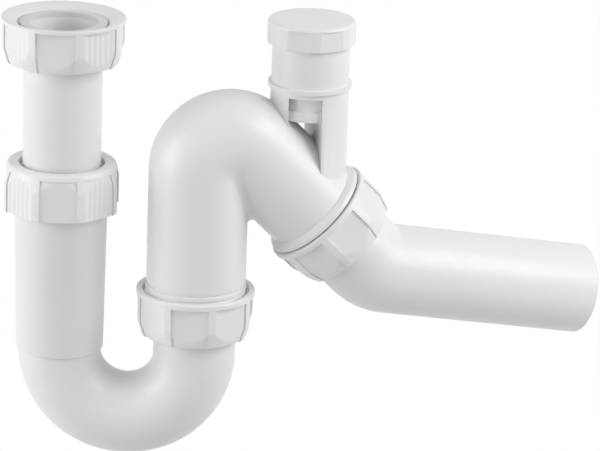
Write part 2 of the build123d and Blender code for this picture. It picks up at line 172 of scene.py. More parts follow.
@dataclass(frozen=True)
class Thread:
    """A right-hand pipe thread as a ridge that winds along a wall."""

    pitch: float = 2.309
    depth: float = 1.35
    flank: float = 2.3
    crest: float = 0.9
    run_out: float = 1.2
    rows_a_turn: int = 8

    def ridge(self, side: Ridge, angle: Array, height: float, span: Pair) -> Array:
        """Height of the ridge over its wall.

        Args:
            side: The wall that carries the ridge.
            angle: Angle about the axis, in radians.
            height: Distance along the axis.
            span: Where the threaded stretch begins and ends.

        Returns:
            Ridge heights, never below zero.
        """
        place = height / self.pitch - angle / TURN + side.value
        off_crest = np.abs(place - np.round(place))
        shape = np.clip(1.0 - self.flank * off_crest, 0.0, self.crest) / self.crest
        fade_in = smooth_step((height - span[0]) / self.run_out)
        fade_out = smooth_step((span[1] - height) / self.run_out)
        return self.depth * shape * (fade_in * fade_out)

    def loops(self, side: Ridge, seat: Seat, wall_r: float, span: Pair, angle: Array) -> list[Array]:
        """Loops of a threaded wall.

        Args:
            side: Male stands outward from the wall, female inward.
            seat: The wall's axis.
            wall_r: Radius of the wall under the ridge.
            span: Where the threaded stretch begins and ends.
            angle: Angles of the loops' points, in radians.

        Returns:
            Loops from the beginning of the span to its end.
        """
        low, high = span
        outward = 1.0 if side is Ridge.MALE else -1.0
        rows = int((high - low) / self.pitch * self.rows_a_turn)
        return [
            seat.place(wall_r + outward * self.ridge(side, angle, height, span), angle, height)
            for height in np.linspace(low, high, rows)
        ]


def add_object(name: str, data: bpy.types.ID) -> bpy.types.Object:
    """Make an object and link it to the scene.

    Args:
        name: Name of the object.
        data: Its mesh, lamp or camera.

    Returns:
        The new object.
    """
    thing = bpy.data.objects.new(name, data)
    bpy.context.scene.collection.objects.link(thing)
    return thing


def finish_mesh(mesh: bpy.types.Mesh) -> None:
    """Merge doubled points, turn the faces outward and shade them smoothly up to an angle.

    Args:
        mesh: The mesh to change, in metres.
    """
    work = bmesh.new()
    work.from_mesh(mesh)
    bmesh.ops.remove_doubles(work, verts=work.verts, dist=WELD)
    bmesh.ops.dissolve_degenerate(work, dist=SLIVER, edges=work.edges)
    bmesh.ops.recalc_face_normals(work, faces=work.faces)
    work.to_mesh(mesh)
    work.free()
    mesh.shade_smooth()
    mesh.set_sharp_from_angle(angle=math.radians(SHARP_DEG))


def skin(name: str, loops: Sequence[Array], wrap: bool = True) -> bpy.types.Object:
    """Join a stack of loops into one closed mesh.

    Args:
        name: Name of the new piece.
        loops: Loops in millimetres, all with the same number of points.
        wrap: Join the last loop to the first; otherwise both ends are capped.

    Returns:
        The new object, linked to the scene.
    """
    grid = np.stack(loops)
    count, points = grid.shape[:2]
    index = np.arange(count * points).reshape(count, points)
    here = index if wrap else index[:-1]
    ahead = np.roll(index, -1, axis=0) if wrap else index[1:]
    quads = np.stack((here, np.roll(here, -1, 1), np.roll(ahead, -1, 1), ahead), axis=-1)
    faces = quads.reshape(-1, 4).tolist()
    if not wrap:
        faces += [index[0][::-1].tolist(), index[-1].tolist()]
    mesh = bpy.data.meshes.new(name)
    mesh.from_pydata((grid.reshape(-1, 3) * MM).tolist(), [], faces)
    finish_mesh(mesh)
    return add_object(name, mesh)


def combine(piece: bpy.types.Object, tool: bpy.types.Object, join: Join) -> None:
    """Join a tool mesh to a piece or cut it out, then delete the tool.

    Args:
        piece: The mesh that is kept.
        tool: The mesh that is used up.
        join: What the tool does.
    """
    modifier = piece.modifiers.new("join", "BOOLEAN")
    modifier.operation = join.value
    modifier.solver = "EXACT"
    modifier.object = tool
    graph = bpy.context.evaluated_depsgraph_get()
    result = bpy.data.meshes.new_from_object(piece.evaluated_get(graph))
    piece.modifiers.clear()
    old = piece.data
    piece.data = result
    bpy.data.meshes.remove(old)
    bpy.data.objects.remove(tool)
    finish_mesh(piece.data)


def prism(name: str, seat: Seat, outline: Array, span: Pair) -> bpy.types.Object:
    """Extrude a flat outline along a seat's axis.

    Args:
        name: Name of the new mesh.
        seat: The axis.
        outline: Points of the outline, one (across, beside) a row.
        span: Where the prism begins and ends along the axis.

    Returns:
        The new object, closed at both ends.
    """
    across, beside = outline[:, 0], outline[:, 1]
    radius, angle = np.hypot(across, beside), np.arctan2(beside, across)
    return skin(name, [seat.place(radius, angle, height) for height in span], wrap=False)


class NodeBoard:
    """Builds a material's nodes one by one."""

    def __init__(self, name: str) -> None:
        """Start a material that holds only a shader and its output.

        Args:
            name: Name of the material.
        """
        self.material = bpy.data.materials.new(name)
        self.material.use_nodes = True
        self.tree = self.material.node_tree
        self.shader = self.tree.nodes["Principled BSDF"]
        self.place = self.add("ShaderNodeTexCoord").outputs["Object"]

    def add(self, kind: str, **values: float) -> bpy.types.Node:
        """Add a node.

        Args:
            kind: The node's type.
            **values: Values of its inputs, by their names in lower case.

        Returns:
            The new node.
        """
        node = self.tree.nodes.new(kind)
        for key, value in values.items():
            node.inputs[key.replace("_", " ").title()].default_value = value
        return node

    def link(self, source: bpy.types.NodeSocket, target: bpy.types.NodeSocket) -> None:
        """Join two sockets."""
        self.tree.links.new(source, target)

    def noise(self, scale: float, detail: float) -> bpy.types.NodeSocket:
        """A noise value over the surface.

        Args:
            scale: Scale of the noise, per metre.
            detail: Finer layers added to it.

        Returns:
            The socket with the value.
        """
        noise = self.add("ShaderNodeTexNoise", scale=scale, detail=detail)
        self.link(self.place, noise.inputs["Vector"])
        return noise.outputs["Fac"]

    def between(self, value: bpy.types.NodeSocket, low: float, high: float) -> bpy.types.NodeSocket:
        """Spread a noise value over a range.

        Args:
            value: The noise.
            low: Where the range begins.
            high: Where it ends.

        Returns:
            The socket with the spread value.
        """
        spread = self.add(
            "ShaderNodeMapRange", from_min=NOISE_LOW, from_max=NOISE_HIGH, to_min=low, to_max=high
        )
        self.link(value, spread.inputs["Value"])
        return spread.outputs["Result"]

    def tint(self, value: bpy.types.NodeSocket, colour: Triple, spread: float) -> None:
        """Vary the base colour a little.

        Args:
            value: The noise that the colour follows.
            colour: The middle colour.
            spread: Share by which it goes down and up.
        """
        node = self.add("ShaderNodeValToRGB")
        low, high = node.color_ramp.elements
        low.position, high.position = NOISE_LOW, NOISE_HIGH
        low.color = (*[part * (1 - spread) for part in colour], 1)
        high.color = (*[min(1.0, part * (1 + spread)) for part in colour], 1)
        self.link(value, node.inputs["Fac"])
        self.link(node.outputs["Color"], self.shader.inputs["Base Color"])

    def bump(self, value: bpy.types.NodeSocket, depth: float, strength: float) -> None:
        """Raise the surface by a noise value.

        Args:
            value: The noise.
            depth: Height of the bumps, in metres.
            strength: How much of it is seen.
        """
        bump = self.add("ShaderNodeBump", strength=strength, distance=depth)
        self.link(value, bump.inputs["Height"])
        self.link(bump.outputs["Normal"], self.shader.inputs["Normal"])


@dataclass(frozen=True)
class Finish:
    """A material whose colour, roughness and surface vary a little, each by its own noise.

    Each noise is a scale per metre and a detail. Light sinks in by the share named sink.
    """

    name: str
    slot: str
    colour: Triple
    spread: float
    roughness: Pair
    ior: float
    tint_noise: Pair
    rough_noise: Pair
    grain_noise: Pair
    grain_depth: float
    grain_strength: float
    sink: float = 0.0
    sink_depth: float = 0.0016
    sink_colour: Triple = (1.0, 0.95, 0.9)

    def material(self) -> bpy.types.Material:
        """Build the finish as nodes.

        Returns:
            The new material.
        """
        board = NodeBoard(self.name)
        for socket, value in (
            ("IOR", self.ior), ("Subsurface Weight", self.sink),
            ("Subsurface Radius", self.sink_colour), ("Subsurface Scale", self.sink_depth),
        ):
            board.shader.inputs[socket].default_value = value
        board.tint(board.noise(*self.tint_noise), self.colour, self.spread)
        rough = board.between(board.noise(*self.rough_noise), *self.roughness)
        board.link(rough, board.shader.inputs["Roughness"])
        board.bump(board.noise(*self.grain_noise), self.grain_depth, self.grain_strength)
        return board.material


@dataclass(frozen=True)
class PlasticFinish(Finish):
    """White polypropylene with a fine grain, into which the light sinks a little."""

    slot: str = "white_polypropylene"
    colour: Triple = (0.86, 0.862, 0.865)
    spread: float = 0.012
    roughness: Pair = (0.30, 0.40)
    ior: float = 1.49
    tint_noise: Pair = (38.0, 3.0)
    rough_noise: Pair = (210.0, 4.0)
    grain_noise: Pair = (900.0, 3.0)
    grain_depth: float = 0.00004
    grain_strength: float = 0.25
    sink: float = 0.12


@dataclass(frozen=True)
class RubberFinish(Finish):
    """Soft sealing rubber with a dull, slightly uneven face."""

    spread: float = 0.06
    roughness: Pair = (0.55, 0.75)
    ior: float = 1.52
    tint_noise: Pair = (160.0, 4.0)
    rough_noise: Pair = (500.0, 3.0)
    grain_noise: Pair = (1600.0, 3.0)
    grain_depth: float = 0.00006
    grain_strength: float = 0.4


@dataclass(frozen=True)
class Finishes:
    """Every finish on the object."""

    moulded: Finish = PlasticFinish("moulded_white")
    extruded: Finish = PlasticFinish("extruded_white", spread=0.008, grain_strength=0.2)
    seal: Finish = RubberFinish("dark_sealing_rubber", "seal_rubber", (0.05, 0.05, 0.052))
    washer: Finish = RubberFinish("pale_washer", "washer_elastomer", (0.76, 0.76, 0.75), 0.03)


FINISHES = Finishes()
MATERIALS: dict[str, bpy.types.Material] = {}


def coat(piece: bpy.types.Object, finish: Finish) -> None:
    """Give a piece its finish, making the material when it is first used.

    Args:
        piece: A new piece or one of the frame's nodes.
        finish: What it is made of.
    """
    if finish.name not in MATERIALS:
        MATERIALS[finish.name] = finish.material()
    if not piece.data.materials:
        piece.data.materials.append(MATERIALS[finish.name])
    for slot in piece.material_slots:
        slot.material = MATERIALS[finish.name]


def hand_over(piece: bpy.types.Object, node: str, finish: Finish) -> None:
    """Coat a piece, let it ride on its body and stand for its node.

    Args:
        piece: The dressed mesh.
        node: Name of the frame's node that it stands for, and of the body that it moves with.
        finish: What it is made of.
    """
    coat(piece, finish)
    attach(piece, node)
    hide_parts(node)
    LOG.info("%s: %d faces on %s", piece.name, len(piece.data.polygons), node)


@dataclass
class PlainNodes:
    """The rings, seals and valve parts whose solids already have their true form."""

    rubber: tuple[str, ...] = (
        "adjuster_seal", "swivel_seal", "outlet_seal", "valve_body_seal", "cap_gasket", "valve_diaphragm",
    )
    hard: tuple[str, ...] = ("adjuster_slip_ring", "swivel_slip_ring", "outlet_slip_ring", "valve_body")
    pale: tuple[str, ...] = ("inlet_washer",)

    def dress(self) -> None:
        """Give each node the finish of its kind."""
        kinds = ((self.rubber, FINISHES.seal), (self.hard, FINISHES.moulded), (self.pale, FINISHES.washer))
        for names, finish in kinds:
            for name in names:
                coat(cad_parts[name], finish)
                LOG.info("%s: dressed as %s", name, finish.name)


@dataclass
class Layout:
    """The directions and corners that the tubes share."""

    leg_spacing: float = 70.0
    adjuster_z: float = -100.4
    swivel_z: float = -141.0
    limb_corner_z: float = -39.8
    limb_run: float = 88.1
    limb_fall: float = math.radians(45.0)
    limb_yaw: float = math.radians(15.0)
    valve_out: float = 56.5

    @property
    def out(self) -> Array:
        """Level direction from the riser towards the outlet."""
        return np.array((math.cos(self.limb_yaw), math.sin(self.limb_yaw), 0.0))

    @property
    def side(self) -> Array:
        """Level direction across the limb."""
        return np.array((-math.sin(self.limb_yaw), math.cos(self.limb_yaw), 0.0))

    @property
    def limb(self) -> Array:
        """Direction in which the limb falls."""
        return self.out * math.cos(self.limb_fall) - np.array((0, 0, math.sin(self.limb_fall)))

    @property
    def limb_up(self) -> Array:
        """Direction square to the limb, upward."""
        return self.out * math.sin(self.limb_fall) + np.array((0, 0, math.cos(self.limb_fall)))

    @property
    def leg(self) -> Array:
        """Where the leg's axis meets the level of the inlet nut's mouth."""
        return np.array((self.leg_spacing, 0, 0))

    @property
    def corner(self) -> Array:
        """Where the axes of the leg and the limb meet."""
        return np.array((self.leg_spacing, 0.0, self.limb_corner_z))


LAYOUT = Layout()
THREAD = Thread()
RIGHT, UP, DOWN = (1, 0, 0), (0, 0, 1), (0, 0, -1)
INLET_SEAT = Seat((0, 0, 0), DOWN, RIGHT)
ADJUSTER_SEAT = Seat((0, 0, LAYOUT.adjuster_z), UP, RIGHT)
SWIVEL_SEAT = Seat((LAYOUT.leg_spacing, 0, LAYOUT.swivel_z), DOWN, RIGHT)
OUTLET_SEAT = Seat.at(LAYOUT.corner + LAYOUT.limb * LAYOUT.limb_run, LAYOUT.limb, LAYOUT.limb_up)
VALVE_SEAT = Seat.at(LAYOUT.leg + LAYOUT.out * LAYOUT.valve_out, UP, LAYOUT.out)


@dataclass
class GripWall:
    """Outer wall of a nut or cap: flat panels sunk between narrow ribs."""

    rim_r: float
    turned_deg: float
    grip: Grip = Grip.PLAIN
    depth: float = 2.5
    rib_width: float = 3.4
    rib_count: int = 8
    ribbed_side: int = 1
    ridges: int = 6
    ridge_height: float = 0.3
    panel_points: int = 65
    rib_points: int = 9
    wall_sunk: Triple = (0.7, 0.3, 0.0)

    @property
    def flat(self) -> float:
        """Distance of a panel from the axis."""
        return self.rim_r - self.depth

    @property
    def half_chord(self) -> float:
        """Half the width of a panel."""
        return self.flat * math.tan(math.pi / self.rib_count) - self.rib_width / 2

    def section(self) -> tuple[Array, Array, Array]:
        """Outline of the wall across its axis, all the way round.

        Returns:
            The angle of each point in radians, its distance from the axis, and how far it
            belongs to a panel, from 0 on a rib to 1. Where a panel's end wall leans over the
            panel, the angle runs back a little.
        """
        across = np.linspace(-self.half_chord, self.half_chord, self.panel_points)
        end_r = math.sqrt(self.rim_r**2 - self.half_chord**2)
        fade = np.array(self.wall_sunk)
        wall = np.linspace(self.flat, end_r, len(fade) + 1)[1:]
        wall_reach, high = np.hypot(wall, self.half_chord), np.arctan2(self.half_chord, wall)
        head = math.asin(self.half_chord / self.rim_r)
        sector = TURN / self.rib_count
        rib = np.linspace(head, sector - head, self.rib_points)[1:-1]
        rib_reach = np.full(rib.shape, self.rim_r)
        angles, reaches, sunk = [], [], []
        for index in range(self.rib_count):
            flat = np.full(across.shape, self.flat)
            if self.grip is Grip.RIBBED and index % 2 == self.ribbed_side:
                wave = 0.5 - 0.5 * np.cos((across / self.half_chord + 1) * math.pi * self.ridges)
                flat = flat + wave * self.ridge_height
            start = math.radians(self.turned_deg) + index * sector
            angles += [start + part for part in (np.arctan2(across, flat), high, rib, sector - high[::-1])]
            reaches += [np.hypot(across, flat), wall_reach, rib_reach, wall_reach[::-1]]
            sunk += [np.ones(across.shape), fade, np.zeros(rib.shape), fade[::-1]]
        return np.concatenate(angles), np.concatenate(reaches), np.concatenate(sunk)


@dataclass
class UnionNut:
    """A union nut with a tapered crown, grip panels and an internal thread."""

    name: str
    seat: Seat
    wall: GripWall
    height: float
    bore_r: float
    hole_r: float
    panels: Pair
    mouth_chamfer: float = 0.8
    mouth_depth: float = 0.8
    crown: float = 3.2
    crown_round: float = 1.6
    crown_relief: float = 0.75
    taper_height: float = 9.0
    taper: float = 2.8
    rim_round: float = 0.6
    round_steps: int = 6
    side_rows: int = 24
    panel_step: float = 0.25
    thread_end: float = 1.0
    hole_edge: float = 0.5
    hole_top: Profile = ((0.5, 0.0), (0.15, -0.15), (0.0, -0.5))
    hole_foot: Profile = ((0.0, 0.3), (0.3, 0.0))
    bore_top: Profile = ((-0.4, 0.0), (0.0, -0.4))

    def outline(self) -> Array:
        """Outer profile from the mouth to the crown.

        Returns:
            Points, one (radius, height) a row.
        """
        rim = self.wall.rim_r
        corners = [
            (self.bore_r + self.mouth_chamfer, 0.0, 0.0),
            (rim, 0.0, self.rim_round),
            (rim, self.height - self.taper_height, self.taper_height),
            (rim - self.taper, self.height, self.crown_round),
            (self.hole_r + self.hole_edge, self.height, 0.0),
        ]
        return rounded(corners, self.round_steps)

    def outer_rows(self) -> list[Pair]:
        """Rows of the outer wall, with close pairs where the panels begin and end.

        Returns:
            Radius and height of each row, from the mouth's lip to the crown.
        """
        outline = self.outline()
        lip = outline[:, 1] < self.rim_round
        rest = outline[~lip]
        side = rest[:-1]
        heights = np.linspace(self.rim_round, rest[:, 1].max(), self.side_rows)
        marks = [mark + off for mark in self.panels for off in (-self.panel_step / 2, self.panel_step / 2)]
        inside = [mark for mark in marks if self.rim_round < mark < side[:, 1].max()]
        tall = np.unique(np.concatenate((heights, inside, side[:, 1])))
        return [*map(tuple, outline[lip][1:]), *zip(np.interp(tall, side[:, 1], side[:, 0]), tall)]

    def build(self) -> None:
        """Make the nut as one closed grid of points about its axis."""
        walled, reach, sunk = self.wall.section()
        angle = np.maximum.accumulate(walled)
        low, high = self.panels
        loops = []
        for radius, height in self.outer_rows():
            if low <= height <= high:
                panelled = np.minimum(reach, radius - self.crown_relief * sunk)
                loops.append(self.seat.place(panelled, walled, height))
            else:
                loops.append(self.seat.place(radius, angle, height))
        ceiling = self.height - self.crown
        inside = [
            *shifted(self.hole_top, self.hole_r, self.height),
            *shifted(self.hole_foot, self.hole_r, ceiling),
            *shifted(self.bore_top, self.bore_r, ceiling),
        ]
        loops += self.seat.rings(inside, angle)
        span = (self.mouth_depth, ceiling - self.thread_end)
        loops += THREAD.loops(Ridge.FEMALE, self.seat, self.bore_r, span, angle)[::-1]
        loops += self.seat.rings([(self.bore_r + self.mouth_chamfer, 0.0)], angle)
        hand_over(skin(f"{self.name}_shell", loops), self.name, FINISHES.moulded)


@dataclass
class InletTube:
    """The plain inlet tube with its flange."""

    tube_r: float = 20.0
    wall: float = 1.9
    flange_r: float = 22.2
    flange_top: float = 5.0
    flange: float = 2.95
    end: float = 128.0
    outer_edge: float = 0.5
    bore_edge: float = 0.3
    flange_foot: float = 0.8
    points: int = 160

    def build(self) -> None:
        """Turn the tube's outline about its axis."""
        bore, foot = self.tube_r - self.wall, self.flange_top + self.flange
        outline = rounded([
            (bore, self.flange_top, self.bore_edge),
            (self.flange_r, self.flange_top, self.outer_edge),
            (self.flange_r, foot, self.outer_edge),
            (self.tube_r, foot, self.flange_foot),
            (self.tube_r, self.end, self.outer_edge),
            (bore, self.end, self.bore_edge),
        ])
        piece = skin("inlet_tube_shell", INLET_SEAT.rings(outline, even_angles(self.points)))
        hand_over(piece, "inlet_tube", FINISHES.extruded)


@dataclass(frozen=True)
class MaleEnd:
    """The threaded end of a tube, up to the cone that takes its seal."""

    cone_r: float
    height: float = 16.99
    root_r: float = 25.39
    lead: float = 0.3

    def loops(self, seat: Seat, low: float, angle: Array) -> list[Array]:
        """Loops of the thread and the end's face.

        Args:
            seat: The nut's seat at that end.
            low: Where the thread begins.
            angle: Angles of the loops' points, in radians.

        Returns:
            Loops from the thread's beginning to the cone's rim.
        """
        span = (low, self.height - self.lead)
        face = [(self.root_r - self.lead, self.height), (self.cone_r, self.height)]
        return THREAD.loops(Ridge.MALE, seat, self.root_r, span, angle) + seat.rings(face, angle)


@dataclass
class JBend:
    """Socket with a threaded head, U-bend and riser, moulded in one."""

    head: MaleEnd = MaleEnd(cone_r=24.19)
    thread_low: float = 0.2
    tube_r: float = 21.2
    bore_r: float = 19.2
    centre_z: float = -176.0
    socket_top_r: float = 23.6
    socket_foot_r: float = 22.6
    socket_bore_r: float = 20.4
    floor_gap: float = 3.0
    floor_slope: float = 1.2
    shoulder: Profile = ((0.4, -0.9), (0.0, -1.6))
    foot_round: Profile = ((0.0, 1.4), (-0.25, 0.5), (-0.9, 0.05))
    riser_end_z: float = -132.99
    riser_outer: Profile = ((0.0, -0.6), (-0.5, 0.0))
    riser_inner: Profile = ((0.0, -0.3), (0.3, 0.0))
    bend_steps: int = 48
    points: int = 144

    def u_loops(self, radius: float, edge: Profile) -> list[Array]:
        """Loops of the U and the riser.

        Args:
            radius: Radius of the tube's skin.
            edge: Steps of the edge at the riser's end.

        Returns:
            Loops from the socket to the riser's end.
        """
        angle = -even_angles(self.points)
        half = LAYOUT.leg_spacing / 2
        loops = []
        for turn in np.linspace(0, math.pi, self.bend_steps + 1):
            level, rise = math.cos(turn), math.sin(turn)
            centre = (half - half * level, 0, self.centre_z - half * rise)
            loops.append(Seat(centre, (rise, 0, -level), (level, 0, rise)).place(radius, angle, 0.0))
        top = Seat((LAYOUT.leg_spacing, 0, self.riser_end_z), UP, (-1, 0, 0))
        return loops + top.rings(shifted(edge, radius, 0.0), angle)

    def build(self) -> None:
        """Lay the outer skin down to the riser's end and the inner skin back."""
        angle = -even_angles(self.points)
        foot = self.centre_z - ADJUSTER_SEAT.origin[2]
        floor = foot + self.floor_gap
        outer = [
            (self.head.root_r, 0.0),
            *shifted(self.shoulder, self.socket_top_r, 0.0),
            *shifted(self.foot_round, self.socket_foot_r, foot),
        ]
        inner = [
            (self.bore_r, floor - self.floor_slope),
            (self.socket_bore_r, floor),
            (self.socket_bore_r, self.head.height - (self.head.cone_r - self.socket_bore_r)),
        ]
        loops = [
            *self.head.loops(ADJUSTER_SEAT, self.thread_low, angle)[::-1],
            *ADJUSTER_SEAT.rings(outer, angle),
            *self.u_loops(self.tube_r, self.riser_outer),
            *self.u_loops(self.bore_r, self.riser_inner)[::-1],
            *ADJUSTER_SEAT.rings(inner, angle),
        ]
        hand_over(skin("j_bend_shell", loops), "j_bend", FINISHES.moulded)


@dataclass(frozen=True)
class Collar:
    """How a plain tube passes over a groove and a collar into its thread.

    The steps start from the groove's place on the tube and from the collar's two corners.
    """

    radius: float
    width: float
    run_in: float
    groove: Profile
    back: Profile
    front: Profile
    gap: float = 0.7

    def profile(self, tube_r: float, root_r: float) -> list[Pair]:
        """Outer profile from the plain tube to the thread.

        Args:
            tube_r: Radius of the tube.
            root_r: Radius of the thread's root.

        Returns:
            Radius and height of each point.
        """
        back = -self.gap - self.width
        return [
            *shifted(self.groove, tube_r, back - self.run_in),
            *shifted(self.back, self.radius, back),
            *shifted(self.front, self.radius, -self.gap),
            (root_r, -self.gap),
        ]


@dataclass
class UpperBend:
    """Leg, tight bend and falling limb in one moulding, with the frame of the air valve."""

    head: MaleEnd = MaleEnd(cone_r=24.99)
    leg_collar: Collar = Collar(
        radius=26.0, width=2.1, run_in=0.5,
        groove=((0.0, -1.6), (-0.05, -0.8), (-0.25, -0.24), (-0.5, 0.0), (-0.5, 0.5)),
        back=((-0.15, 0.0), (0.0, 0.2)), front=((0.0, -0.25), (-0.2, 0.0)),
    )
    limb_collar: Collar = Collar(
        radius=28.8, width=2.7, run_in=1.5, groove=((0.0, -0.5), (-0.3, -0.1), (0.15, 0.1)),
        back=((-0.8, 0.0), (-0.2, 0.4), (0.0, 1.0)), front=((0.0, -0.3), (-0.3, 0.0)),
    )
    tube_r: float = 25.6
    wall: float = 1.85
    mouth_step: float = 1.2
    bend_r: float = 15.6
    crotch_round: float = 2.4
    crotch_spread: float = 1.2
    frame_r: float = 20.0
    frame_wall: float = 2.3
    frame_edge: float = 0.3
    frame_top_z: float = -34.4
    frame_foot_z: float = -86.0
    opening_foot_z: float = -84.0
    window_top_z: float = -37.1
    window_left: float = -14.0
    window_right: float = 2.6
    overlap: float = 0.4
    tool_reach: float = 2.0
    arc_steps: int = 44
    straight_steps: int = 12
    points: int = 160
    ring_points: int = 120
    post_points: tuple[int, int] = (25, 21)
    duct_points: tuple[int, int] = (61, 51)

    @property
    def bore_r(self) -> float:
        """Radius of the bend's bore."""
        return self.tube_r - self.wall

    @property
    def frame_bore_r(self) -> float:
        """Radius of the frame's bore."""
        return self.frame_r - self.frame_wall

    @property
    def bend_turn(self) -> float:
        """Angle through which the bend turns."""
        return math.pi / 2 + LAYOUT.limb_fall

    def lay(self, out: Array, beside: Array, up: Array) -> Array:
        """Points given by their distances from the leg's axis and their heights.

        Args:
            out: Level distance towards the outlet.
            beside: Level distance across the limb.
            up: Height.

        Returns:
            Points, with the three coordinates last.
        """
        flat = LAYOUT.leg + np.multiply.outer(out, LAYOUT.out) + np.multiply.outer(beside, LAYOUT.side)
        return flat + np.multiply.outer(up, np.array(UP))

    def bend_loops(self, radius: float, rounding: float, leg_low: float, limb_high: float) -> list[Array]:
        """Loops of the plain tube from the leg through the bend to the limb.

        Args:
            radius: Radius of the tube's skin.
            rounding: Smallest radius where the leg meets the limb.
            leg_low: Height at which the leg begins.
            limb_high: Distance along the limb at which it ends.

        Returns:
            Loops from the leg to the limb.
        """
        angle = even_angles(self.points)
        inward, beside = radius * np.cos(angle), radius * np.sin(angle)
        free = self.bend_r - inward
        spread = self.crotch_spread
        arc_r = rounding + 0.5 * (free - rounding + np.sqrt((free - rounding) ** 2 + spread**2))
        past = inward + arc_r - self.bend_r
        centre_out = self.bend_r + past
        centre_z = LAYOUT.limb_corner_z - math.tan(self.bend_turn / 2) * centre_out
        parts = np.linspace(0, 1, self.straight_steps)
        loops = [self.lay(inward, beside, leg_low + (centre_z - leg_low) * part) for part in parts[:-1]]
        for turn in np.linspace(0, self.bend_turn, self.arc_steps):
            up = centre_z + arc_r * math.sin(turn)
            loops.append(self.lay(centre_out - arc_r * math.cos(turn), beside, up))
        end = LAYOUT.corner + LAYOUT.limb * limb_high
        last = end - np.multiply.outer(inward, LAYOUT.limb_up) + np.multiply.outer(beside, LAYOUT.side)
        start = loops[-1]
        return loops + [start + (last - start) * part for part in parts[1:]]

    def end_loops(self, seat: Seat, across: Array, profile: Profile) -> list[Array]:
        """Loops of a threaded end.

        Args:
            seat: The nut's seat at that end.
            across: Direction of the loops' first point.
            profile: Outer profile from the plain tube to the thread.

        Returns:
            Loops from the plain tube to the mouth's inner edge.
        """
        axis, mark = unit(seat.axis), unit(seat.across)
        angle = even_angles(self.points)
        if np.cross(axis, across) @ LAYOUT.side < 0:
            angle = -angle
        angle += math.atan2(across @ np.cross(axis, mark), across @ mark)
        mouth = [(self.bore_r, self.head.height - self.mouth_step)]
        return [*seat.rings(profile, angle), *self.head.loops(seat, 0.0, angle), *seat.rings(mouth, angle)]

    def tube(self) -> bpy.types.Object:
        """The tube with both threaded ends, hollow, as one closed skin.

        Returns:
            The new object.
        """
        leg = self.leg_collar.profile(self.tube_r, self.head.root_r)
        limb = self.limb_collar.profile(self.tube_r, self.head.root_r)
        mouth_z, run = LAYOUT.swivel_z, LAYOUT.limb_run
        outer = self.bend_loops(self.tube_r, self.crotch_round, mouth_z - leg[0][1], run + limb[0][1])
        depth = self.head.height - self.mouth_step
        inner = self.bend_loops(self.bore_r, self.crotch_round + self.wall, mouth_z - depth, run + depth)
        loops = [
            *self.end_loops(SWIVEL_SEAT, LAYOUT.out, leg)[::-1],
            *outer[1:-1],
            *self.end_loops(OUTLET_SEAT, -LAYOUT.limb_up, limb),
            *inner[1:-1][::-1],
        ]
        return skin("upper_bend_shell", loops)

    def arc(self, radius: float, start: float, end: float, count: int) -> Array:
        """Points of an arc about the valve's axis, as (across, beside)."""
        angle = np.linspace(start, end, count)
        return np.stack((radius * np.cos(angle), radius * np.sin(angle)), axis=-1)

    def duct_hollow(self, name: str, span: Pair) -> bpy.types.Object:
        """The air duct's hollow as a tool for cutting.

        Args:
            name: Name of the tool.
            span: Where the hollow begins and ends along the valve's axis.

        Returns:
            The tool.
        """
        half = math.acos((self.window_right + self.frame_wall) / self.frame_bore_r)
        return prism(name, VALVE_SEAT, self.arc(self.frame_bore_r, -half, half, self.duct_points[1]), span)

    def bend_tool(self) -> bpy.types.Object:
        """The bend's bore as a tool for cutting.

        Returns:
            The tool.
        """
        rounding = self.crotch_round + self.wall
        loops = self.bend_loops(self.bore_r, rounding, LAYOUT.swivel_z, LAYOUT.limb_run)
        return skin("bend_tool", loops, wrap=False)

    def valve_frame(self) -> list[bpy.types.Object]:
        """Top ring, thin left post and air duct of the frame, cut off at the bend's bore.

        Returns:
            The three meshes.
        """
        outer, inner = self.frame_r, self.frame_bore_r
        low, high = self.window_top_z, self.frame_top_z
        ring = [
            (outer, low), (outer, high - self.frame_edge), (outer - self.frame_edge, high),
            (inner, high), (inner, low),
        ]
        span = (self.frame_foot_z, low + self.overlap)
        outside, inside = (math.acos(self.window_left / radius) for radius in (outer, inner))
        post = np.concatenate((
            self.arc(outer, outside, TURN - outside, self.post_points[0]),
            self.arc(inner, TURN - inside, inside, self.post_points[1]),
        ))
        half = math.acos(self.window_right / outer)
        pieces = [
            skin("frame_ring", VALVE_SEAT.rings(ring, even_angles(self.ring_points))),
            prism("frame_post", VALVE_SEAT, post, span),
            prism("frame_duct", VALVE_SEAT, self.arc(outer, -half, half, self.duct_points[0]), span),
        ]
        bore_span = (span[0] - self.tool_reach, span[1] + self.tool_reach)
        combine(pieces[-1], self.duct_hollow("duct_bore", bore_span), Join.CUT)
        for piece in pieces[1:]:
            combine(piece, self.bend_tool(), Join.CUT)
        return pieces

    def build(self) -> None:
        """Make the bend, open its wall under the air duct and join the frame to it."""
        piece = self.tube()
        combine(piece, self.duct_hollow("duct_opening", (self.opening_foot_z, self.window_top_z)), Join.CUT)
        for part in self.valve_frame():
            combine(piece, part, Join.ADD)
        hand_over(piece, "upper_bend", FINISHES.moulded)


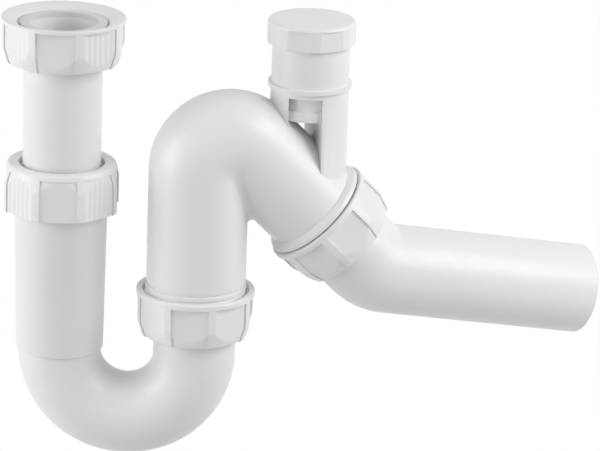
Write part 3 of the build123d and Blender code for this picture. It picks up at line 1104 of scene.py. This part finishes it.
@dataclass
class OutletPipe:
    """Outlet pipe: straight spigot, gentle elbow and plain tail."""

    tube_r: float = 23.4
    wall: float = 2.0
    spigot_run: float = 80.09
    corner_run: float = 132.8
    bend_angle: float = math.radians(34.8)
    bend_roll: float = math.radians(15.0)
    bend_r: float = 24.0
    tail: float = 121.0
    spigot_edge: Profile = ((-0.6, 0.0), (0.0, 0.6))
    tail_outer: Profile = ((0.0, -0.9), (-0.12, -0.45), (-0.4, -0.1), (-0.8, 0.0))
    tail_inner: Profile = ((0.5, 0.0), (0.12, -0.15), (0.0, -0.6))
    bend_steps: int = 20
    points: int = 144

    def stations(self) -> list[Seat]:
        """Seats along the pipe's axis.

        Returns:
            The seats, from the spigot's end to the tail's end.
        """
        limb = LAYOUT.limb
        way = LAYOUT.limb_up * math.cos(self.bend_roll) + LAYOUT.side * math.sin(self.bend_roll)
        tangent = self.bend_r * math.tan(self.bend_angle / 2)
        hub = LAYOUT.corner + limb * (self.corner_run - tangent) + way * self.bend_r
        places = [(LAYOUT.corner + limb * self.spigot_run, limb, way)]
        for turn in np.linspace(0, self.bend_angle, self.bend_steps):
            along = limb * math.cos(turn) + way * math.sin(turn)
            inward = way * math.cos(turn) - limb * math.sin(turn)
            places.append((hub - inward * self.bend_r, along, inward))
        centre, along, inward = places[-1]
        places.append((centre + along * (self.tail - tangent), along, inward))
        return [Seat.at(*place) for place in places]

    def build(self) -> None:
        """Lay the outer skin along the stations and the inner skin back."""
        angle = even_angles(self.points)
        first, *bend, last = self.stations()
        bore_r = self.tube_r - self.wall
        loops = [
            *first.rings(shifted(self.spigot_edge, self.tube_r, 0.0), angle),
            *[seat.place(self.tube_r, angle, 0.0) for seat in bend],
            *last.rings(shifted(self.tail_outer, self.tube_r, 0.0), angle),
            *last.rings(shifted(self.tail_inner, bore_r, 0.0), angle),
            *[seat.place(bore_r, angle, 0.0) for seat in bend[::-1]],
            first.place(bore_r, angle, 0.0),
        ]
        hand_over(skin("outlet_pipe_shell", loops), "outlet_pipe", FINISHES.extruded)


@dataclass
class ValveCap:
    """Screwed cap of the air valve: ribbed skirt, rounded top and a hollow inside."""

    wall: GripWall
    top_z: float = 0.5
    foot_z: float = -11.8
    bore_r: float = 20.1
    plate: float = 2.5
    ceiling_edge: Profile = ((-0.6, 0.0), (0.0, -0.6))
    foot_edge: Profile = ((0.0, 0.3), (0.3, 0.0))
    skirt_edge: float = 0.4
    skirt_rows: int = 14
    top_round: float = 2.0
    top_sink: float = 0.15
    top_rows: int = 9
    middle: float = 0.5

    def build(self) -> None:
        """Make the cap as one closed grid about its axis."""
        walled, reach, _ = self.wall.section()
        angle = np.maximum.accumulate(walled)
        rim, ceiling, panel_top = self.wall.rim_r, self.top_z - self.plate, self.top_z - self.top_round
        inside = [
            (0.0, ceiling),
            *shifted(self.ceiling_edge, self.bore_r, ceiling),
            *shifted(self.foot_edge, self.bore_r, self.foot_z),
        ]
        skirt = [(rim - self.skirt_edge, self.foot_z)]
        for height in np.linspace(self.foot_z + self.skirt_edge, panel_top, self.skirt_rows):
            skirt.append((rim, height))
        top = []
        for turn in np.linspace(0, math.pi / 2, self.top_rows):
            radius = rim - self.top_round + self.top_round * math.cos(turn)
            height = panel_top + self.top_sink + (self.top_round - self.top_sink) * math.sin(turn)
            top.append((radius, height))
        top += [(rim * self.middle, self.top_z), (0.0, self.top_z)]
        loops = [
            *VALVE_SEAT.rings(inside, angle),
            *VALVE_SEAT.rings([(np.minimum(reach, radius), height) for radius, height in skirt], walled),
            *VALVE_SEAT.rings(top, angle),
        ]
        hand_over(skin("valve_cap_shell", loops, wrap=False), "valve_cap", FINISHES.moulded)


@dataclass(frozen=True)
class SoftLamp:
    """A square soft lamp that looks at the object. Place and size are in metres."""

    name: str
    place: Triple
    power: float
    size: float = 0.8

    def build(self, target: Vector) -> None:
        """Hang the lamp and turn it to the target.

        Args:
            target: The point that it looks at, in metres.
        """
        data = bpy.data.lights.new(self.name, "AREA")
        data.shape = "SQUARE"
        data.size = self.size
        data.energy = self.power
        lamp = add_object(self.name, data)
        lamp.location = Vector(self.place)
        lamp.rotation_euler = (target - lamp.location).to_track_quat("-Z", "Y").to_euler()


def show_as(
    tree: bpy.types.NodeTree, light: bpy.types.Node, look: bpy.types.Node, output: bpy.types.Node
) -> None:
    """Let a surface light the scene by one shader and be seen by another.

    Args:
        tree: The tree that holds the nodes.
        light: Shader for the rays that gather light.
        look: Shader for the rays that show the surface: straight, mirrored or let through.
        output: The tree's output.
    """
    path = tree.nodes.new("ShaderNodeLightPath")
    seen = path.outputs["Is Camera Ray"]
    for name in ("Is Glossy Ray", "Is Transmission Ray"):
        either = tree.nodes.new("ShaderNodeMath")
        either.operation = "MAXIMUM"
        tree.links.new(seen, either.inputs[0])
        tree.links.new(path.outputs[name], either.inputs[1])
        seen = either.outputs["Value"]
    mix = tree.nodes.new("ShaderNodeMixShader")
    for source, target in zip((seen, light.outputs[0], look.outputs[0]), mix.inputs):
        tree.links.new(source, target)
    tree.links.new(mix.outputs["Shader"], output.inputs["Surface"])


@dataclass
class Studio:
    """Pale floor, white surroundings, soft lamps and the camera."""

    look_at: Triple = (115.0, 0.0, -110.0)
    camera_at: Triple = (170.9, -1749.9, 467.0)
    roll_deg: float = 1.97
    focal_px: float = 3604.0
    width_px: int = 600
    centre_px: Pair = (-14.97, 8.45)
    sensor_mm: float = 36.0
    floor_z: float = -0.62
    floor_half: float = 6.0
    floor_tone: float = 0.7
    floor_roughness: float = 0.9
    surround: float = 0.41
    lamps: tuple[SoftLamp, ...] = (
        SoftLamp("left_soft", (-0.9, -0.35, 0.1), power=6.5),
        SoftLamp("right_soft", (1.1, -0.3, 0.6), power=9.5),
    )

    def camera(self) -> None:
        """Place the camera at the photograph's view."""
        data = bpy.data.cameras.new("camera")
        data.sensor_width = self.sensor_mm
        data.lens = self.focal_px / self.width_px * self.sensor_mm
        data.shift_x = -self.centre_px[0] / self.width_px
        data.shift_y = self.centre_px[1] / self.width_px
        forward = unit(np.array(self.look_at) - np.array(self.camera_at))
        level = unit(np.cross(forward, UP))
        above = np.cross(level, forward)
        roll = math.radians(self.roll_deg)
        right = level * math.cos(roll) + above * math.sin(roll)
        up = above * math.cos(roll) - level * math.sin(roll)
        matrix = Matrix([[right[i], up[i], -forward[i]] for i in range(3)]).to_4x4()
        matrix.translation = Vector(self.camera_at) * MM
        camera = add_object("camera", data)
        camera.matrix_world = matrix
        bpy.context.scene.camera = camera

    def world(self) -> None:
        """Soft even light all round, seen by the camera as plain white."""
        world = bpy.data.worlds.new("surround")
        bpy.context.scene.world = world
        world.use_nodes = True
        nodes = world.node_tree.nodes
        light, white = nodes["Background"], nodes.new("ShaderNodeBackground")
        for background, strength in ((light, self.surround), (white, 1.0)):
            background.inputs["Color"].default_value = (1, 1, 1, 1)
            background.inputs["Strength"].default_value = strength
        show_as(world.node_tree, light, white, nodes["World Output"])

    def floor(self) -> None:
        """A pale floor well below the object, which hangs by its inlet nut."""
        half, tone = self.floor_half, self.floor_tone
        mesh = bpy.data.meshes.new("floor")
        corners = [(-half, -half), (half, -half), (half, half), (-half, half)]
        mesh.from_pydata([(x, y, self.floor_z) for x, y in corners], [], [(0, 1, 2, 3)])
        floor = add_object("floor", mesh)
        material = bpy.data.materials.new("floor_white")
        material.use_nodes = True
        nodes = material.node_tree.nodes
        shader, glow = nodes["Principled BSDF"], nodes.new("ShaderNodeEmission")
        shader.inputs["Base Color"].default_value = (tone, tone, tone, 1)
        shader.inputs["Roughness"].default_value = self.floor_roughness
        glow.inputs["Strength"].default_value = 1.0
        show_as(material.node_tree, shader, glow, nodes["Material Output"])
        mesh.materials.append(material)

    def build(self) -> None:
        """Set up the camera, the surroundings and the lamps."""
        bpy.context.scene.view_settings.view_transform = "Standard"
        self.camera()
        self.world()
        self.floor()
        for lamp in self.lamps:
            lamp.build(Vector(self.look_at) * MM)


def nuts() -> list[UnionNut]:
    """The four union nuts with their sizes and places.

    Returns:
        The nuts, from the inlet to the outlet.
    """
    joint = {"height": 24.3, "bore_r": 26.95}
    rim_r, past_crown = 30.5, 30.0
    return [
        UnionNut(
            "inlet_nut", INLET_SEAT, GripWall(rim_r=31.6, turned_deg=1.8, grip=Grip.RIBBED), height=23.1,
            bore_r=23.98, hole_r=20.4, panels=(1.8, past_crown), mouth_chamfer=5.2, mouth_depth=2.4,
        ),
        UnionNut(
            "adjuster_nut", ADJUSTER_SEAT, GripWall(rim_r, turned_deg=2.4, grip=Grip.RIBBED),
            hole_r=22.0, panels=(-1.0, 21.5), **joint,
        ),
        UnionNut(
            "swivel_nut", SWIVEL_SEAT, GripWall(rim_r, turned_deg=1.8),
            hole_r=22.0, panels=(2.8, past_crown), **joint,
        ),
        UnionNut(
            "outlet_nut", OUTLET_SEAT, GripWall(rim_r, turned_deg=-10.6),
            hole_r=23.8, panels=(2.8, past_crown), **joint,
        ),
    ]


def main() -> None:
    """Build every sub-assembly in order."""
    logging.basicConfig(level=logging.INFO, format="%(name)s: %(message)s")
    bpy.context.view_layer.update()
    PlainNodes().dress()
    for nut in nuts():
        nut.build()
    InletTube().build()
    JBend().build()
    UpperBend().build()
    OutletPipe().build()
    ValveCap(GripWall(rim_r=22.5, turned_deg=15.6, depth=0.9, rib_width=3.2)).build()
    Studio().build()


if __name__ == "__main__":
    main()
